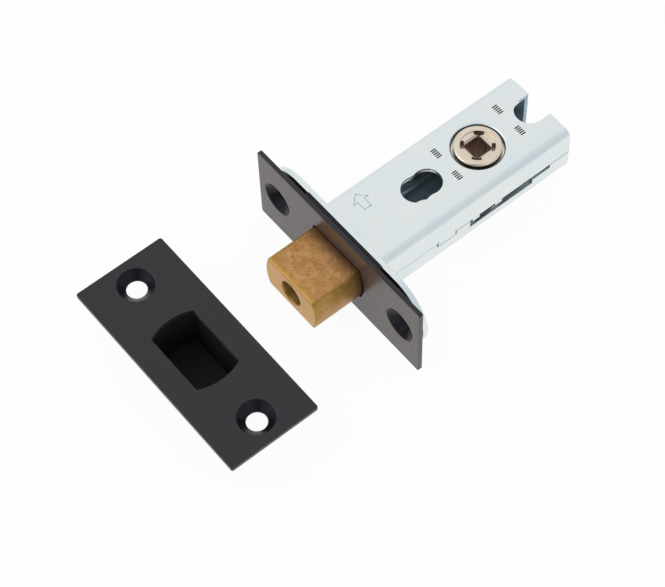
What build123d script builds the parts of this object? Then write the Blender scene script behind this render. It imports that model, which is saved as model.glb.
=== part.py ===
from build123d import *
import math
import os

# Tubular bathroom deadbolt with its strike plate, in millimetres.
# The origin is on the spindle axis at mid thickness of the case. +X runs along the forend,
# +Y runs back into the door, away from the bolt's end, and +Z is up out of the case's upper face.
# The bolt is thrown. The follower turns about Z and draws the bolt back along +Y.

# Setting out
backset = 44.0             # forend front face to the spindle axis
case_depth = 64.0          # forend front face to the rear end of the case
seam_drop = 0.5            # seam between the two shells, below the mid plane

# Bolt
throw = 12.8               # travel of the bolt
bolt_proud = 1.4           # what still stands out of the forend when the bolt is drawn back
bolt_flat = 16.6           # width of the flat upper and lower faces
bolt_bow = 1.2             # how far each side bows out past the flats
bolt_thick = 11.0
bolt_inside = 1.3          # length of the bolt behind the inner forend
bolt_edge = 0.4            # bevel around the bowed sides
bolt_nose = 1.5            # rounding of the end face's long edges
end_hole_dia = 6.8
end_hole_depth = 9.0

# Rivet that holds the tail on the bolt
rivet_dia = 3.2
rivet_head_dia = 5.6
rivet_head_thick = 1.6
rivet_bevel = 0.5          # bevel of the head
rivet_peen_dia = 5.2
rivet_peen_thick = 0.9

# Pressed plates
plate_width = 25.0
plate_thick = 1.2
plate_corner = 0.6         # corner radius of a plate
forend_length = 60.0
strike_length = 60.0
forend_gap = 0.3           # outer forend's opening around the bolt
strike_gap = 0.65          # strike opening around the bolt

# Screw dimples in the plates
screw_spacing = 46.0
screw_hole_dia = 5.1
sink_dia = 9.4
sink_rim = 0.35            # bevel where the dimple meets the face
dimple_depth = 2.6
dimple_land = 0.6          # straight wall at the bottom of the dimple
dimple_ring = 0.95         # width of the dimple's end face

# Guide plate and inner forend
bush_length = 28.0
bush_width = 23.4
bush_corner = 1.0
bush_gap = 0.15
inner_length = 57.0
inner_width = 22.0
inner_thick = 1.5
inner_gap = 0.45

# Case shells
case_wall = 1.2
bend_radius = 2.4          # outer radius of the long bends
side_clear = 0.8           # bolt to the side walls
face_clear = 0.5           # bolt to the flat walls
lug_low = 2.0              # front lugs, from and to this height off the mid plane
lug_high = 5.0
lug_clear = 0.05
tab_front = 21.8           # lock tabs, distance of their front edge from the forend face
tab_length = 5.6
tab_drop = 1.2
tab_clear = 0.25
through_dia = 7.5          # two overlapping holes for the front bolt-through fixing
through_far = 19.5         # from the spindle axis to the further hole
through_near = 16.0        # from the spindle axis to the nearer hole
through_neck = 7.1         # width between the two holes
notch_dia = 7.8            # rear notch for the other bolt-through fixing
notch_at = 16.8            # from the spindle axis to the notch's round end
slot_front = 12.0          # side slots, reach in front of the spindle axis
slot_rear = 8.1            # reach of the deep stretch behind the axis
slot_end = 13.8            # reach of the shallow stretch behind the axis
slot_deep = 2.7
slot_shallow = 1.4

# Follower
spindle_square = 5.0
lead_in_dia = 8.7          # round step around the socket
lead_in_depth = 0.8
lead_in_step = 0.3         # depth of the round step, below which the ramps lead into the socket
pocket_width = 2.4         # pockets at the socket's corners
pocket_depth = 1.6
pocket_bite = 0.15         # how far a pocket cuts into the square's corner
hub_dia = 12.0             # journal that shows in the case
hub_clear = 0.55
hub_proud = 0.5            # journal above the case face
hub_rim = 0.3              # bevel of the journal's edge
hole_roll = 0.6            # bevel of the case hole's outer edge
collar_width = 1.3         # collar past the journal
collar_thick = 0.9
collar_clear = 0.1
waist_dia = 11.2
flat_depth = 0.4           # detent flats cut into the waist
turn = 90.0                # turn of the follower in degrees
finger_tip_dia = 4.0
finger_neck = 2.8
finger_thick = 2.0
finger_below_seam = 0.4

# Bolt tail
tail_thick = 1.4
tail_below_finger = 0.3
tail_clear = 0.4           # rails to the side walls
rail_off_waist = 0.9       # rails to the follower's waist
rail_end_clear = 0.4       # rails to the rear wall when the bolt is drawn back
rail_corner = 1.0
flange_top = 4.4           # height of the riveted flange over the bolt's axis
flange_corner = 2.0
lug_thick = 2.2
lug_play = 0.5             # play of the finger between the lugs, each side
lug_round = 0.9
ear_inset = 0.1            # lug ears in the side slot, short of the case's side
ear_clear = 0.2            # lug ears to the seam and to the slot's shallow stretch

# Detent spring
spring_thick = 0.4
spring_width = 4.4
spring_rise = 0.4          # spring above the tail's rails
spring_touch = 0.05        # gap to the flat it rests on
spring_flat = 2.4          # straight stretch on the flat
spring_foot = 2.2          # straight stretch along the wall
spring_bend = 1.5
spring_ear = 0.9           # ears that turn out into the side slot
spring_ear_width = 1.4
spring_end_clear = 0.1

# Strike plate's dust box
box_wall = 1.0
box_depth = 14.3           # below the strike plate
box_foot = 1.0             # bevel of the bottom edge
strike_x = -0.8
strike_ahead = 41.7        # centre of the strike in front of the forend face

# Worked out from the above
forend_y = -backset
bush_thick = dimple_depth - plate_thick
bush_y = forend_y + plate_thick
inner_y = bush_y + bush_thick
case_y = inner_y + inner_thick
rear_y = forend_y + case_depth
bolt_reach = bolt_flat / 2 + bolt_bow
inside_x = bolt_reach + side_clear
inside_z = bolt_thick / 2 + face_clear
case_x = inside_x + case_wall
case_z = inside_z + case_wall
bolt_front_y = forend_y - throw - bolt_proud
bolt_rear_y = case_y + bolt_inside
crank = throw / (2 * math.sin(math.radians(turn / 2)))
tip_y = -throw / 2
finger_top = -seam_drop - finger_below_seam
finger_low = finger_top - finger_thick
tail_top = finger_low - tail_below_finger
tail_low = tail_top - tail_thick
rail_in = waist_dia / 2 + rail_off_waist
rail_out = inside_x - tail_clear
rail_end_y = rear_y - case_wall - throw - rail_end_clear
lug_gap = finger_tip_dia + 2 * lug_play
waist_half = inside_z - collar_clear - collar_thick
floor_z = -plate_width / 2
strike_top = floor_z + box_depth + plate_thick
strike_y = forend_y - strike_ahead
far = 4 * case_depth       # longer than any cut needs
near = 0.01                # radii this close are taken as equal


def block(x, y, z):
    """Box from three (low, high) ranges."""
    sizes = [high - low for low, high in (x, y, z)]
    middle = [(high + low) / 2 for low, high in (x, y, z)]
    return Pos(*middle) * Box(*sizes)


def both_sides(part):
    """The part and its mirror image across the case."""
    return part + mirror(part, about=Plane.YZ)


def along(sketch, front, back):
    """Extrude a sketch of X and Z along the case, from front to back."""
    return Pos(0, back, 0) * Rot(90, 0, 0) * extrude(sketch, amount=back - front)


def upright(x, y, radius):
    """Round cutter along Z."""
    return Pos(x, y, 0) * Cylinder(radius, far)


def bolt_outline(grow):
    """Section of the bolt, larger by grow all round: two flats and two bowed sides."""
    flat = bolt_flat / 2 + grow
    half = bolt_thick / 2 + grow
    reach = bolt_reach + grow
    edges = [
        Line((-flat, half), (flat, half)),
        ThreePointArc((flat, half), (reach, 0), (flat, -half)),
        Line((flat, -half), (-flat, -half)),
        ThreePointArc((-flat, -half), (-reach, 0), (-flat, half)),
    ]
    return make_face(edges)


def screw_dimple():
    """Pressed countersink below a face at z = 0, to be joined to a plate with a hole of its rim."""
    hole = screw_hole_dia / 2
    sink = sink_dia / 2
    outer = sink + plate_thick
    profile = Polyline(
        (hole, -dimple_depth),
        (hole, dimple_land - dimple_depth),
        (sink, 0),
        (outer, 0),
        (outer, -plate_thick),
        (sink, -plate_thick),
        (hole + dimple_ring, -dimple_depth),
        close=True,
    )
    ring = revolve(Plane.XZ * make_face(profile), Axis.Z)
    rim = ring.edges().filter_by(GeomType.CIRCLE).filter_by(lambda e: abs(e.radius - sink) < near)
    return chamfer(rim.sort_by(Axis.Z)[-1], sink_rim)


def pressed_plate(length, gap):
    """Face plate lying flat with its face at z = 0: bolt opening and two screw dimples."""
    outline = RectangleRounded(length, plate_width, plate_corner) - bolt_outline(gap)
    plate = extrude(outline, amount=-plate_thick)
    for side in (-1, 1):
        spot = Pos(side * screw_spacing / 2, 0, 0)
        plate -= spot * Cylinder(sink_dia / 2 + plate_thick, far)
        plate += spot * screw_dimple()
    return plate


def outer_forend():
    """Black face plate of the lock."""
    return Pos(0, forend_y, 0) * Rot(90, 0, 0) * pressed_plate(forend_length, forend_gap)


def bolt_bush():
    """Nylon plate that guides the bolt between the two forends."""
    outline = RectangleRounded(bush_length, bush_width, bush_corner) - bolt_outline(bush_gap)
    return along(outline, bush_y, inner_y)


def front_lugs(clear):
    """Lugs of the upper shell that pass through the inner forend, enlarged by clear."""
    lug = block((inside_x - clear, case_x + clear), (inner_y, case_y), (lug_low - clear, lug_high + clear))
    return both_sides(lug)


def inner_forend():
    """Plated plate with full-round ends that the case's lugs are staked into."""
    outline = SlotOverall(inner_length, inner_width) - bolt_outline(inner_gap)
    for side in (-1, 1):
        outline -= Pos(side * screw_spacing / 2, 0) * Circle(screw_hole_dia / 2)
    plate = along(outline, inner_y, case_y)
    slots = front_lugs(lug_clear)
    return plate - slots - mirror(slots, about=Plane.XY)


def tray_outline(inset, rim_z):
    """Section of a shell that opens downwards at rim_z, drawn inset from its outer face."""
    width = 2 * (case_x - inset)
    height = case_z - inset - rim_z
    outline = Pos(0, rim_z + height / 2) * Rectangle(width, height)
    corners = outline.vertices().sort_by(Axis.Y)[-2:]
    return fillet(corners, bend_radius - inset)


def shell(rim_z):
    """Upper case shell with its rim at rim_z: bent sheet, end wall, holes, rear notch and front lugs."""
    outer = tray_outline(0, rim_z)
    inner = tray_outline(case_wall, rim_z)
    tray = along(outer, case_y, rear_y) - along(inner, case_y, rear_y - case_wall)
    tray -= upright(0, 0, hub_dia / 2 + hub_clear)
    tray -= upright(0, -through_far, through_dia / 2)
    tray -= upright(0, -through_near, through_dia / 2)
    tray -= block((-through_neck / 2, through_neck / 2), (-through_far, -through_near), (-far, far))
    tray -= upright(0, notch_at, notch_dia / 2)
    tray -= block((-notch_dia / 2, notch_dia / 2), (notch_at, far), (-far, far))
    rolled = tray.edges().filter_by(GeomType.CIRCLE).group_by(Axis.Z)[-1]
    hub_edge = rolled.filter_by(lambda e: abs(e.radius - hub_dia / 2 - hub_clear) < near)
    tray = chamfer(hub_edge, hole_roll)
    return tray + front_lugs(0)


def lock_tabs(clear):
    """Tabs that drop from the upper shell's rim into notches of the lower one, enlarged by clear."""
    front = forend_y + tab_front
    span = (front - clear, front + tab_length + clear)
    return both_sides(block((inside_x, case_x), span, (-seam_drop - tab_drop - clear, -seam_drop)))


def case_upper_shell():
    """Upper half of the case."""
    return shell(-seam_drop) + lock_tabs(0)


def case_lower_shell():
    """Lower half of the case, with side slots that the follower's finger swings into."""
    tray = mirror(shell(seam_drop), about=Plane.XY) - lock_tabs(tab_clear)
    walls = (inside_x, case_x)
    deep = block(walls, (-slot_front, slot_rear), (-seam_drop - slot_deep, 0))
    shallow = block(walls, (slot_rear, slot_end), (-seam_drop - slot_shallow, 0))
    return tray - both_sides(deep + shallow)


def bolt_head():
    """Brass bolt, thrown, with its end hole."""
    bar = along(bolt_outline(0), bolt_front_y, bolt_rear_y)
    nose = bar.faces().sort_by(Axis.Y)[0].edges().filter_by(Axis.X)
    bar = fillet(nose, bolt_nose)
    sides = bar.faces().sort_by(Axis.X)
    rims = sides[0].edges() + sides[-1].edges()
    bar = chamfer(rims.filter_by(lambda e: e.center().Y < bolt_rear_y - near), bolt_edge)
    bar -= along(Circle(end_hole_dia / 2), bolt_front_y, bolt_front_y + end_hole_depth)
    return bar - along(Circle(rivet_dia / 2), bolt_front_y, bolt_rear_y)


def bolt_rivet():
    """Rivet from the bottom of the end hole through the bolt and the tail's flange."""
    seat = bolt_front_y + end_hole_depth
    back = bolt_rear_y + tail_thick
    head = along(Circle(rivet_head_dia / 2), seat - rivet_head_thick, seat)
    head = chamfer(head.faces().sort_by(Axis.Y)[0].edges(), rivet_bevel)
    peen = along(Circle(rivet_peen_dia / 2), back, back + rivet_peen_thick)
    return head + along(Circle(rivet_dia / 2), seat, back) + peen


def bolt_tail():
    """Pressed fork: a flange riveted to the bolt, two rails and two lugs beside the follower's finger."""
    height = flange_top - tail_low
    outline = Pos(0, tail_low + height / 2) * Rectangle(2 * rail_out, height)
    outline = fillet(outline.vertices().sort_by(Axis.Y)[-2:], flange_corner)
    flange = along(outline - Circle(rivet_dia / 2), bolt_rear_y, bolt_rear_y + tail_thick)
    rail = block((rail_in, rail_out), (bolt_rear_y, rail_end_y), (tail_low, tail_top))
    ends = rail.edges().filter_by(Axis.Z).sort_by(Axis.Y)[-2:]
    rail = fillet(ends, rail_corner)
    tail = flange + both_sides(rail)
    for side in (-1, 1):
        inner_face = tip_y + side * lug_gap / 2
        span = sorted((inner_face, inner_face + side * lug_thick))
        lug = block((rail_in, rail_out), span, (tail_low, finger_top))
        top = lug.faces().sort_by(Axis.Z)[-1].edges().filter_by(Axis.X)
        tail += fillet(top, lug_round)
        ear_low = ear_clear - seam_drop - slot_shallow
        tail += block((rail_in + lug_round, case_x - ear_inset), span, (ear_low, -seam_drop - ear_clear))
    return tail


def socket_mouth(face):
    """Cutter for the socket's mouth in a face at this height: a round step, four ramps and corner pockets."""
    wide = spindle_square + 2 * (lead_in_depth - lead_in_step)
    low = Pos(0, 0, face - lead_in_depth) * Rectangle(spindle_square, spindle_square)
    high = Pos(0, 0, face - lead_in_step) * Rectangle(wide, wide)
    cutter = loft([low, high]) + Pos(0, 0, face - lead_in_step / 2) * Cylinder(lead_in_dia / 2, lead_in_step)
    corner = spindle_square / math.sqrt(2) - pocket_bite
    half = pocket_width / 2
    pocket = block((corner, far), (-half, half), (face - pocket_depth, face)) & Cylinder(lead_in_dia / 2, far)
    for quarter in range(4):
        cutter += Rot(0, 0, 45 + 90 * quarter) * pocket
    return cutter


def follower():
    """Follower with journals in both shells, square socket, detent flats and crank finger."""
    journal = case_z + hub_proud
    hub = Cylinder(hub_dia / 2, 2 * journal)
    hub = chamfer(hub.edges().filter_by(GeomType.CIRCLE), hub_rim)
    hub += Cylinder(hub_dia / 2 + collar_width, 2 * (inside_z - collar_clear))
    hub -= Cylinder(far, 2 * waist_half) - Cylinder(waist_dia / 2, 2 * waist_half)
    spring_low = tail_top + spring_rise
    flat_z = (spring_low - spring_rise / 2, spring_low + spring_width + spring_rise / 2)
    flat_at = waist_dia / 2 - flat_depth
    hub -= block((-far, -flat_at), (-hub_dia, hub_dia), flat_z)
    hub -= block((-hub_dia, hub_dia), (flat_at, far), flat_z)
    reach = Pos(crank / 2, 0) * Rectangle(crank, finger_neck)
    finger = reach + Pos(crank, 0) * Circle(finger_tip_dia / 2)
    hub += Pos(0, 0, finger_low) * Rot(0, 0, -turn / 2) * extrude(finger, amount=finger_thick)
    mouth = socket_mouth(journal)
    hub -= mouth
    hub -= mirror(mouth, about=Plane.XY)
    return hub - Box(spindle_square, spindle_square, far)


def detent_spring():
    """Leaf spring between the left wall and the follower's flat, its ears in the side slot."""
    wall = -inside_x + spring_thick / 2
    flat = -(waist_dia / 2 - flat_depth + spring_touch + spring_thick / 2)
    front = -slot_front + spring_end_clear + spring_thick / 2
    back = slot_rear - spring_end_clear - spring_thick / 2
    low = tail_top + spring_rise
    half = spring_flat / 2
    route = FilletPolyline(
        (wall, front),
        (wall, front + spring_foot),
        (flat, -half),
        (flat, half),
        (wall, back - spring_foot),
        (wall, back),
        radius=spring_bend,
    )
    spring = Pos(0, 0, low) * extrude(trace(route, line_width=spring_thick), amount=spring_width)
    ear_top = -seam_drop - spring_end_clear
    for middle in (front, back):
        span = (middle - spring_thick / 2, middle + spring_thick / 2)
        spring += block((-inside_x - spring_ear, wall), span, (ear_top - spring_ear_width, ear_top))
    return spring


def strike_plate():
    """Black keep plate, lying in front of the lock on its dust box."""
    return Pos(strike_x, strike_y, strike_top) * pressed_plate(strike_length, strike_gap)


def dust_box():
    """Moulded box that hangs below the strike opening."""
    top = strike_top - plate_thick
    outer = extrude(bolt_outline(strike_gap + box_wall), amount=-box_depth)
    outer = chamfer(outer.faces().sort_by(Axis.Z)[0].edges(), box_foot)
    inner = extrude(bolt_outline(strike_gap), amount=box_wall - box_depth)
    return Pos(strike_x, strike_y, top) * (outer - inner)


pieces = (
    outer_forend, bolt_bush, inner_forend, case_upper_shell, case_lower_shell, bolt_head,
    bolt_rivet, bolt_tail, follower, detent_spring, strike_plate, dust_box,
)

os.makedirs("parts", exist_ok=True)
for piece in pieces:
    export_step(piece(), f"parts/{piece.__name__}.step")
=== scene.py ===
"""Looks of a tubular bathroom deadbolt and its strike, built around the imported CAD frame.

The frame gives every size and place in metres. The modelling helpers below work in millimetres.
+X runs along the forend, +Y runs back into the door and +Z is up out of the case's upper face.
"""

import functools
import logging
import math
from collections.abc import Callable, Sequence
from dataclasses import dataclass, field
from enum import Enum

import bmesh
import bpy
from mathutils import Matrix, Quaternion, Vector

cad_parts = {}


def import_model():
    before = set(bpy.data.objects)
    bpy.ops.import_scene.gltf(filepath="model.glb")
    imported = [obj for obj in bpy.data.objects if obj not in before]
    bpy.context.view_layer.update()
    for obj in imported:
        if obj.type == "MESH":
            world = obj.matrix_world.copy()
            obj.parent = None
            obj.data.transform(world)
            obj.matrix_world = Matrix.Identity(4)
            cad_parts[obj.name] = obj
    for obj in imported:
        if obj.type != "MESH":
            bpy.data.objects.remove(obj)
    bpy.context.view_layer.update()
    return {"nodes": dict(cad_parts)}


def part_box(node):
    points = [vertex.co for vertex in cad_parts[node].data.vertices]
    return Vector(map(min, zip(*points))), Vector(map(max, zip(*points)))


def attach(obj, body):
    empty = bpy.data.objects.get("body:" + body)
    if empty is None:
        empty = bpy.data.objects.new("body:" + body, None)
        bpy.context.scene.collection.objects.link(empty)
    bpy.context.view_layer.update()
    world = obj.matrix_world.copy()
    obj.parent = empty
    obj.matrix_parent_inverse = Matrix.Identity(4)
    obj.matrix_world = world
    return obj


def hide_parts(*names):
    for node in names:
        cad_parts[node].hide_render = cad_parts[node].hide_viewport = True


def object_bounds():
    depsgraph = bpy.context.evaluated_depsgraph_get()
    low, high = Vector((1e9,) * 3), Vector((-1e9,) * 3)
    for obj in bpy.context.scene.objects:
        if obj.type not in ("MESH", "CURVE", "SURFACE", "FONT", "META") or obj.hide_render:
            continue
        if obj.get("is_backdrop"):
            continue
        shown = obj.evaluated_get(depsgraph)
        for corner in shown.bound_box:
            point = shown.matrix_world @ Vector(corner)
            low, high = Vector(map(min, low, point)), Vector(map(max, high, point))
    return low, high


MM = 0.001
ROUND_STEPS = 96          # facets around a turned or drilled form
MERGE_MM = 0.0005         # points closer than this are one point
CLOSE_MM = 0.02           # a point within this of a plane counts as on it
PAST_MM = 1.0             # how far a cutter reaches past the face that it cuts
FLUSH_DEG = 0.5           # faces that turn by less than this are one face
SHARP_DEG = 35.0          # edges that turn by more than this are sharp
FLAT = 0.97               # share of a normal along an axis, above which a face lies flat to it
STEEP = 0.3               # share of a normal along an axis, below which a face is steep
UPRIGHT = 0.1             # share of a normal along an axis, below which a face is a wall along it

Solid = bpy.types.Object
Socket = bpy.types.NodeSocket
Material = bpy.types.Material
Triple = tuple[float, float, float]
Colour = tuple[float, float, float]
Spot = tuple[float, float]
Relief = tuple[float, float]
Profile = Sequence[Spot]
EdgeTest = Callable[[Vector, Vector], bool]
FaceTest = Callable[[Vector, Vector], bool]

log = logging.getLogger("deadbolt")


class Body(Enum):
    """Moving bodies of the lock."""

    CASE = "case"
    FOLLOWER = "follower"
    BOLT = "bolt"


class Slot(Enum):
    """Material slots of the record."""

    BLACK_PAINT = "black_paint"
    BLACK_NYLON = "black_nylon"
    BRIGHT_ZINC = "bright_zinc"
    RAW_BRASS = "raw_brass"
    PLAIN_STEEL = "plain_steel"
    NICKEL = "nickel"
    SPRING_STEEL = "spring_steel"


class Joinery(Enum):
    """Ways in which one solid acts on another."""

    CUT = "DIFFERENCE"
    WELD = "UNION"
    OVERLAP = "INTERSECT"


@dataclass(frozen=True)
class Extent:
    """Box of a CAD node in millimetres."""

    low: Vector
    high: Vector

    @classmethod
    @functools.cache
    def of(cls, node: str) -> "Extent":
        """Read a node's box from the frame once.

        Args:
            node: Name of the CAD node.

        Returns:
            The node's box.
        """
        low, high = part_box(node)
        return cls(low / MM, high / MM)

    @property
    def size(self) -> Vector:
        """Length of the box along each axis."""
        return self.high - self.low

    @property
    def middle(self) -> Vector:
        """Centre of the box."""
        return (self.high + self.low) / 2


# Modelling by hand


def activate(piece: Solid) -> None:
    """Select one object alone and make it the active one."""
    bpy.ops.object.select_all(action="DESELECT")
    piece.select_set(True)
    bpy.context.view_layer.objects.active = piece


def settle(piece: Solid) -> Solid:
    """Put an object's place, turn and scale into its mesh."""
    activate(piece)
    bpy.ops.object.transform_apply(location=True, rotation=True, scale=True)
    return piece


def named(name: str) -> Solid:
    """Name the primitive that was just added and settle it."""
    piece = bpy.context.active_object
    piece.name = name
    piece.data.name = name
    return settle(piece)


def block(name: str, low: Triple, high: Triple) -> Solid:
    """Add a cube stretched between two corners.

    Args:
        name: Name of the new object.
        low: Lowest corner in millimetres.
        high: Highest corner in millimetres.

    Returns:
        The block, with its place in its mesh.
    """
    bpy.ops.object.select_all(action="DESELECT")
    start, end = Vector(low) * MM, Vector(high) * MM
    bpy.ops.mesh.primitive_cube_add(size=1, location=(start + end) / 2, scale=end - start)
    return named(name)


def drum(
    name: str,
    start: Triple,
    end: Triple,
    radius: float,
    end_radius: float | None = None,
) -> Solid:
    """Add a round bar or a cone between two points.

    Args:
        name: Name of the new object.
        start: Centre of the first end in millimetres.
        end: Centre of the other end in millimetres.
        radius: Radius at the first end.
        end_radius: Radius at the other end, if it differs.

    Returns:
        The bar, with its place in its mesh.
    """
    bpy.ops.object.select_all(action="DESELECT")
    first, last = Vector(start) * MM, Vector(end) * MM
    run = last - first
    bpy.ops.mesh.primitive_cone_add(
        vertices=ROUND_STEPS,
        radius1=radius * MM,
        radius2=(end_radius or radius) * MM,
        depth=run.length,
        location=(first + last) / 2,
        rotation=run.to_track_quat("Z", "Y").to_euler(),
    )
    return named(name)


def lathe(name: str, profile: Profile) -> Solid:
    """Turn a profile about the Z axis.

    Args:
        name: Name of the new object.
        profile: Points of radius and height in millimetres, from the axis round to the axis.

    Returns:
        The closed turned solid.
    """
    bpy.ops.object.select_all(action="DESELECT")
    bpy.ops.mesh.primitive_plane_add(size=MM)
    piece = named(name)
    bpy.ops.object.mode_set(mode="EDIT")
    bpy.ops.mesh.select_mode(type="VERT")
    bpy.ops.mesh.select_all(action="SELECT")
    bpy.ops.mesh.merge(type="CENTER")
    points = [Vector((radius, 0, height)) * MM for radius, height in profile]
    bpy.ops.transform.translate(value=points[0])
    for here, there in zip(points, points[1:]):
        bpy.ops.mesh.extrude_vertices_move(TRANSFORM_OT_translate={"value": there - here})
    bpy.ops.mesh.select_all(action="SELECT")
    bpy.ops.mesh.spin(steps=ROUND_STEPS, angle=math.tau, center=(0, 0, 0), axis=(0, 0, 1))
    bpy.ops.mesh.select_all(action="SELECT")
    bpy.ops.mesh.remove_doubles(threshold=MERGE_MM * MM)
    bpy.ops.mesh.normals_make_consistent(inside=False)
    bpy.ops.object.mode_set(mode="OBJECT")
    return piece


def shift(piece: Solid, by: Triple) -> Solid:
    """Move a piece by an offset in millimetres, in its mesh."""
    piece.location = Vector(by) * MM
    return settle(piece)


def stand(piece: Solid) -> Solid:
    """Stand up a piece that was modelled lying flat: its upper face turns to the front, to -Y."""
    piece.rotation_euler = (math.pi / 2, 0, 0)
    return settle(piece)


def combine(piece: Solid, tool: Solid, how: Joinery, crossing: bool = False) -> Solid:
    """Cut, weld or overlap a piece with a tool, which is used up.

    Args:
        piece: Object that is kept.
        tool: Object that acts on it.
        how: What the tool does.
        crossing: Whether the tool's own parts cross each other.

    Returns:
        The piece.
    """
    change = piece.modifiers.new("joinery", "BOOLEAN")
    change.operation = how.value
    change.solver = "EXACT"
    change.use_self = crossing
    change.object = tool
    activate(piece)
    bpy.ops.object.modifier_apply(modifier=change.name)
    mesh = tool.data
    bpy.data.objects.remove(tool)
    bpy.data.meshes.remove(mesh)
    return piece


def bevel(
    piece: Solid,
    radius: float,
    segments: int,
    chosen: Callable[[bmesh.types.BMEdge], bool],
) -> Solid:
    """Bevel the edges that a test picks.

    Args:
        piece: Object to work on.
        radius: Radius in millimetres.
        segments: Facets of the bevel.
        chosen: Test on an edge of the mesh.

    Returns:
        The piece.
    """
    activate(piece)
    bpy.ops.object.mode_set(mode="EDIT")
    bpy.ops.mesh.select_mode(type="EDGE")
    bpy.ops.mesh.select_all(action="DESELECT")
    mesh = bmesh.from_edit_mesh(piece.data)
    for edge in mesh.edges:
        edge.select_set(chosen(edge))
    bmesh.update_edit_mesh(piece.data)
    bpy.ops.mesh.bevel(offset=radius * MM, segments=segments, affect="EDGES", clamp_overlap=False)
    bpy.ops.object.mode_set(mode="OBJECT")
    return piece


def round_edges(piece: Solid, radius: float, chosen: EdgeTest, segments: int = 6) -> Solid:
    """Round the edges that a test on their places picks.

    Args:
        piece: Object to work on.
        radius: Radius in millimetres.
        chosen: Test on an edge's two ends, in millimetres.
        segments: Facets of the rounding.

    Returns:
        The piece.
    """
    return bevel(piece, radius, segments, lambda edge: chosen(*(end.co / MM for end in edge.verts)))


def both_on(axis: int, level: float) -> EdgeTest:
    """Test for edges that lie in a plane across an axis.

    Args:
        axis: 0, 1 or 2 for X, Y or Z.
        level: Place of the plane in millimetres.

    Returns:
        The test.
    """
    return lambda one, two: max(abs(one[axis] - level), abs(two[axis] - level)) < CLOSE_MM


def runs_along(axis: int) -> EdgeTest:
    """Test for edges that run along an axis."""
    return lambda one, two: abs((two - one).normalized()[axis]) > 1 - CLOSE_MM


def both(first: EdgeTest, second: EdgeTest) -> EdgeTest:
    """Test for edges that pass two tests."""
    return lambda one, two: first(one, two) and second(one, two)


def flanked(side: int, near: float, far: float) -> Spot:
    """Give the lower and the higher end of a stretch on one side of the middle.

    Args:
        side: 1 or -1.
        near: Distance of its inner end from the middle.
        far: Distance of its outer end from the middle.

    Returns:
        The two ends in rising order.
    """
    low, high = sorted((side * near, side * far))
    return low, high


def clean(piece: Solid) -> Solid:
    """Merge stray points, join faces that lie in one plane and turn the normals outward."""
    activate(piece)
    bpy.ops.object.mode_set(mode="EDIT")
    bpy.ops.mesh.select_all(action="SELECT")
    bpy.ops.mesh.remove_doubles(threshold=CLOSE_MM * MM)
    bpy.ops.mesh.dissolve_limited(angle_limit=math.radians(FLUSH_DEG))
    bpy.ops.mesh.normals_make_consistent(inside=False)
    bpy.ops.object.mode_set(mode="OBJECT")
    return piece


def soften(piece: Solid, radius: float, segments: int = 3) -> Solid:
    """Break every sharp outer edge of a finished solid and shade it smooth; inner corners stay sharp.

    Args:
        piece: Object to work on.
        radius: Width of the broken edge in millimetres.
        segments: Facets of the broken edge.

    Returns:
        The piece.
    """
    clean(piece)
    bevel(piece, radius, segments, juts_out)
    return smooth(piece)


def juts_out(edge: bmesh.types.BMEdge) -> bool:
    """Tell whether an edge is sharp and points outward."""
    return edge.is_manifold and edge.calc_face_angle_signed() > math.radians(SHARP_DEG)


def smooth(piece: Solid) -> Solid:
    """Shade a piece smooth, with sharp edges kept sharp and flat faces kept flat."""
    activate(piece)
    bpy.ops.object.shade_smooth_by_angle(angle=math.radians(SHARP_DEG))
    flats = piece.modifiers.new("flat_faces", "WEIGHTED_NORMAL")
    flats.keep_sharp = True
    bpy.ops.object.modifier_apply(modifier=flats.name)
    return piece


# Finishes


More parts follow.
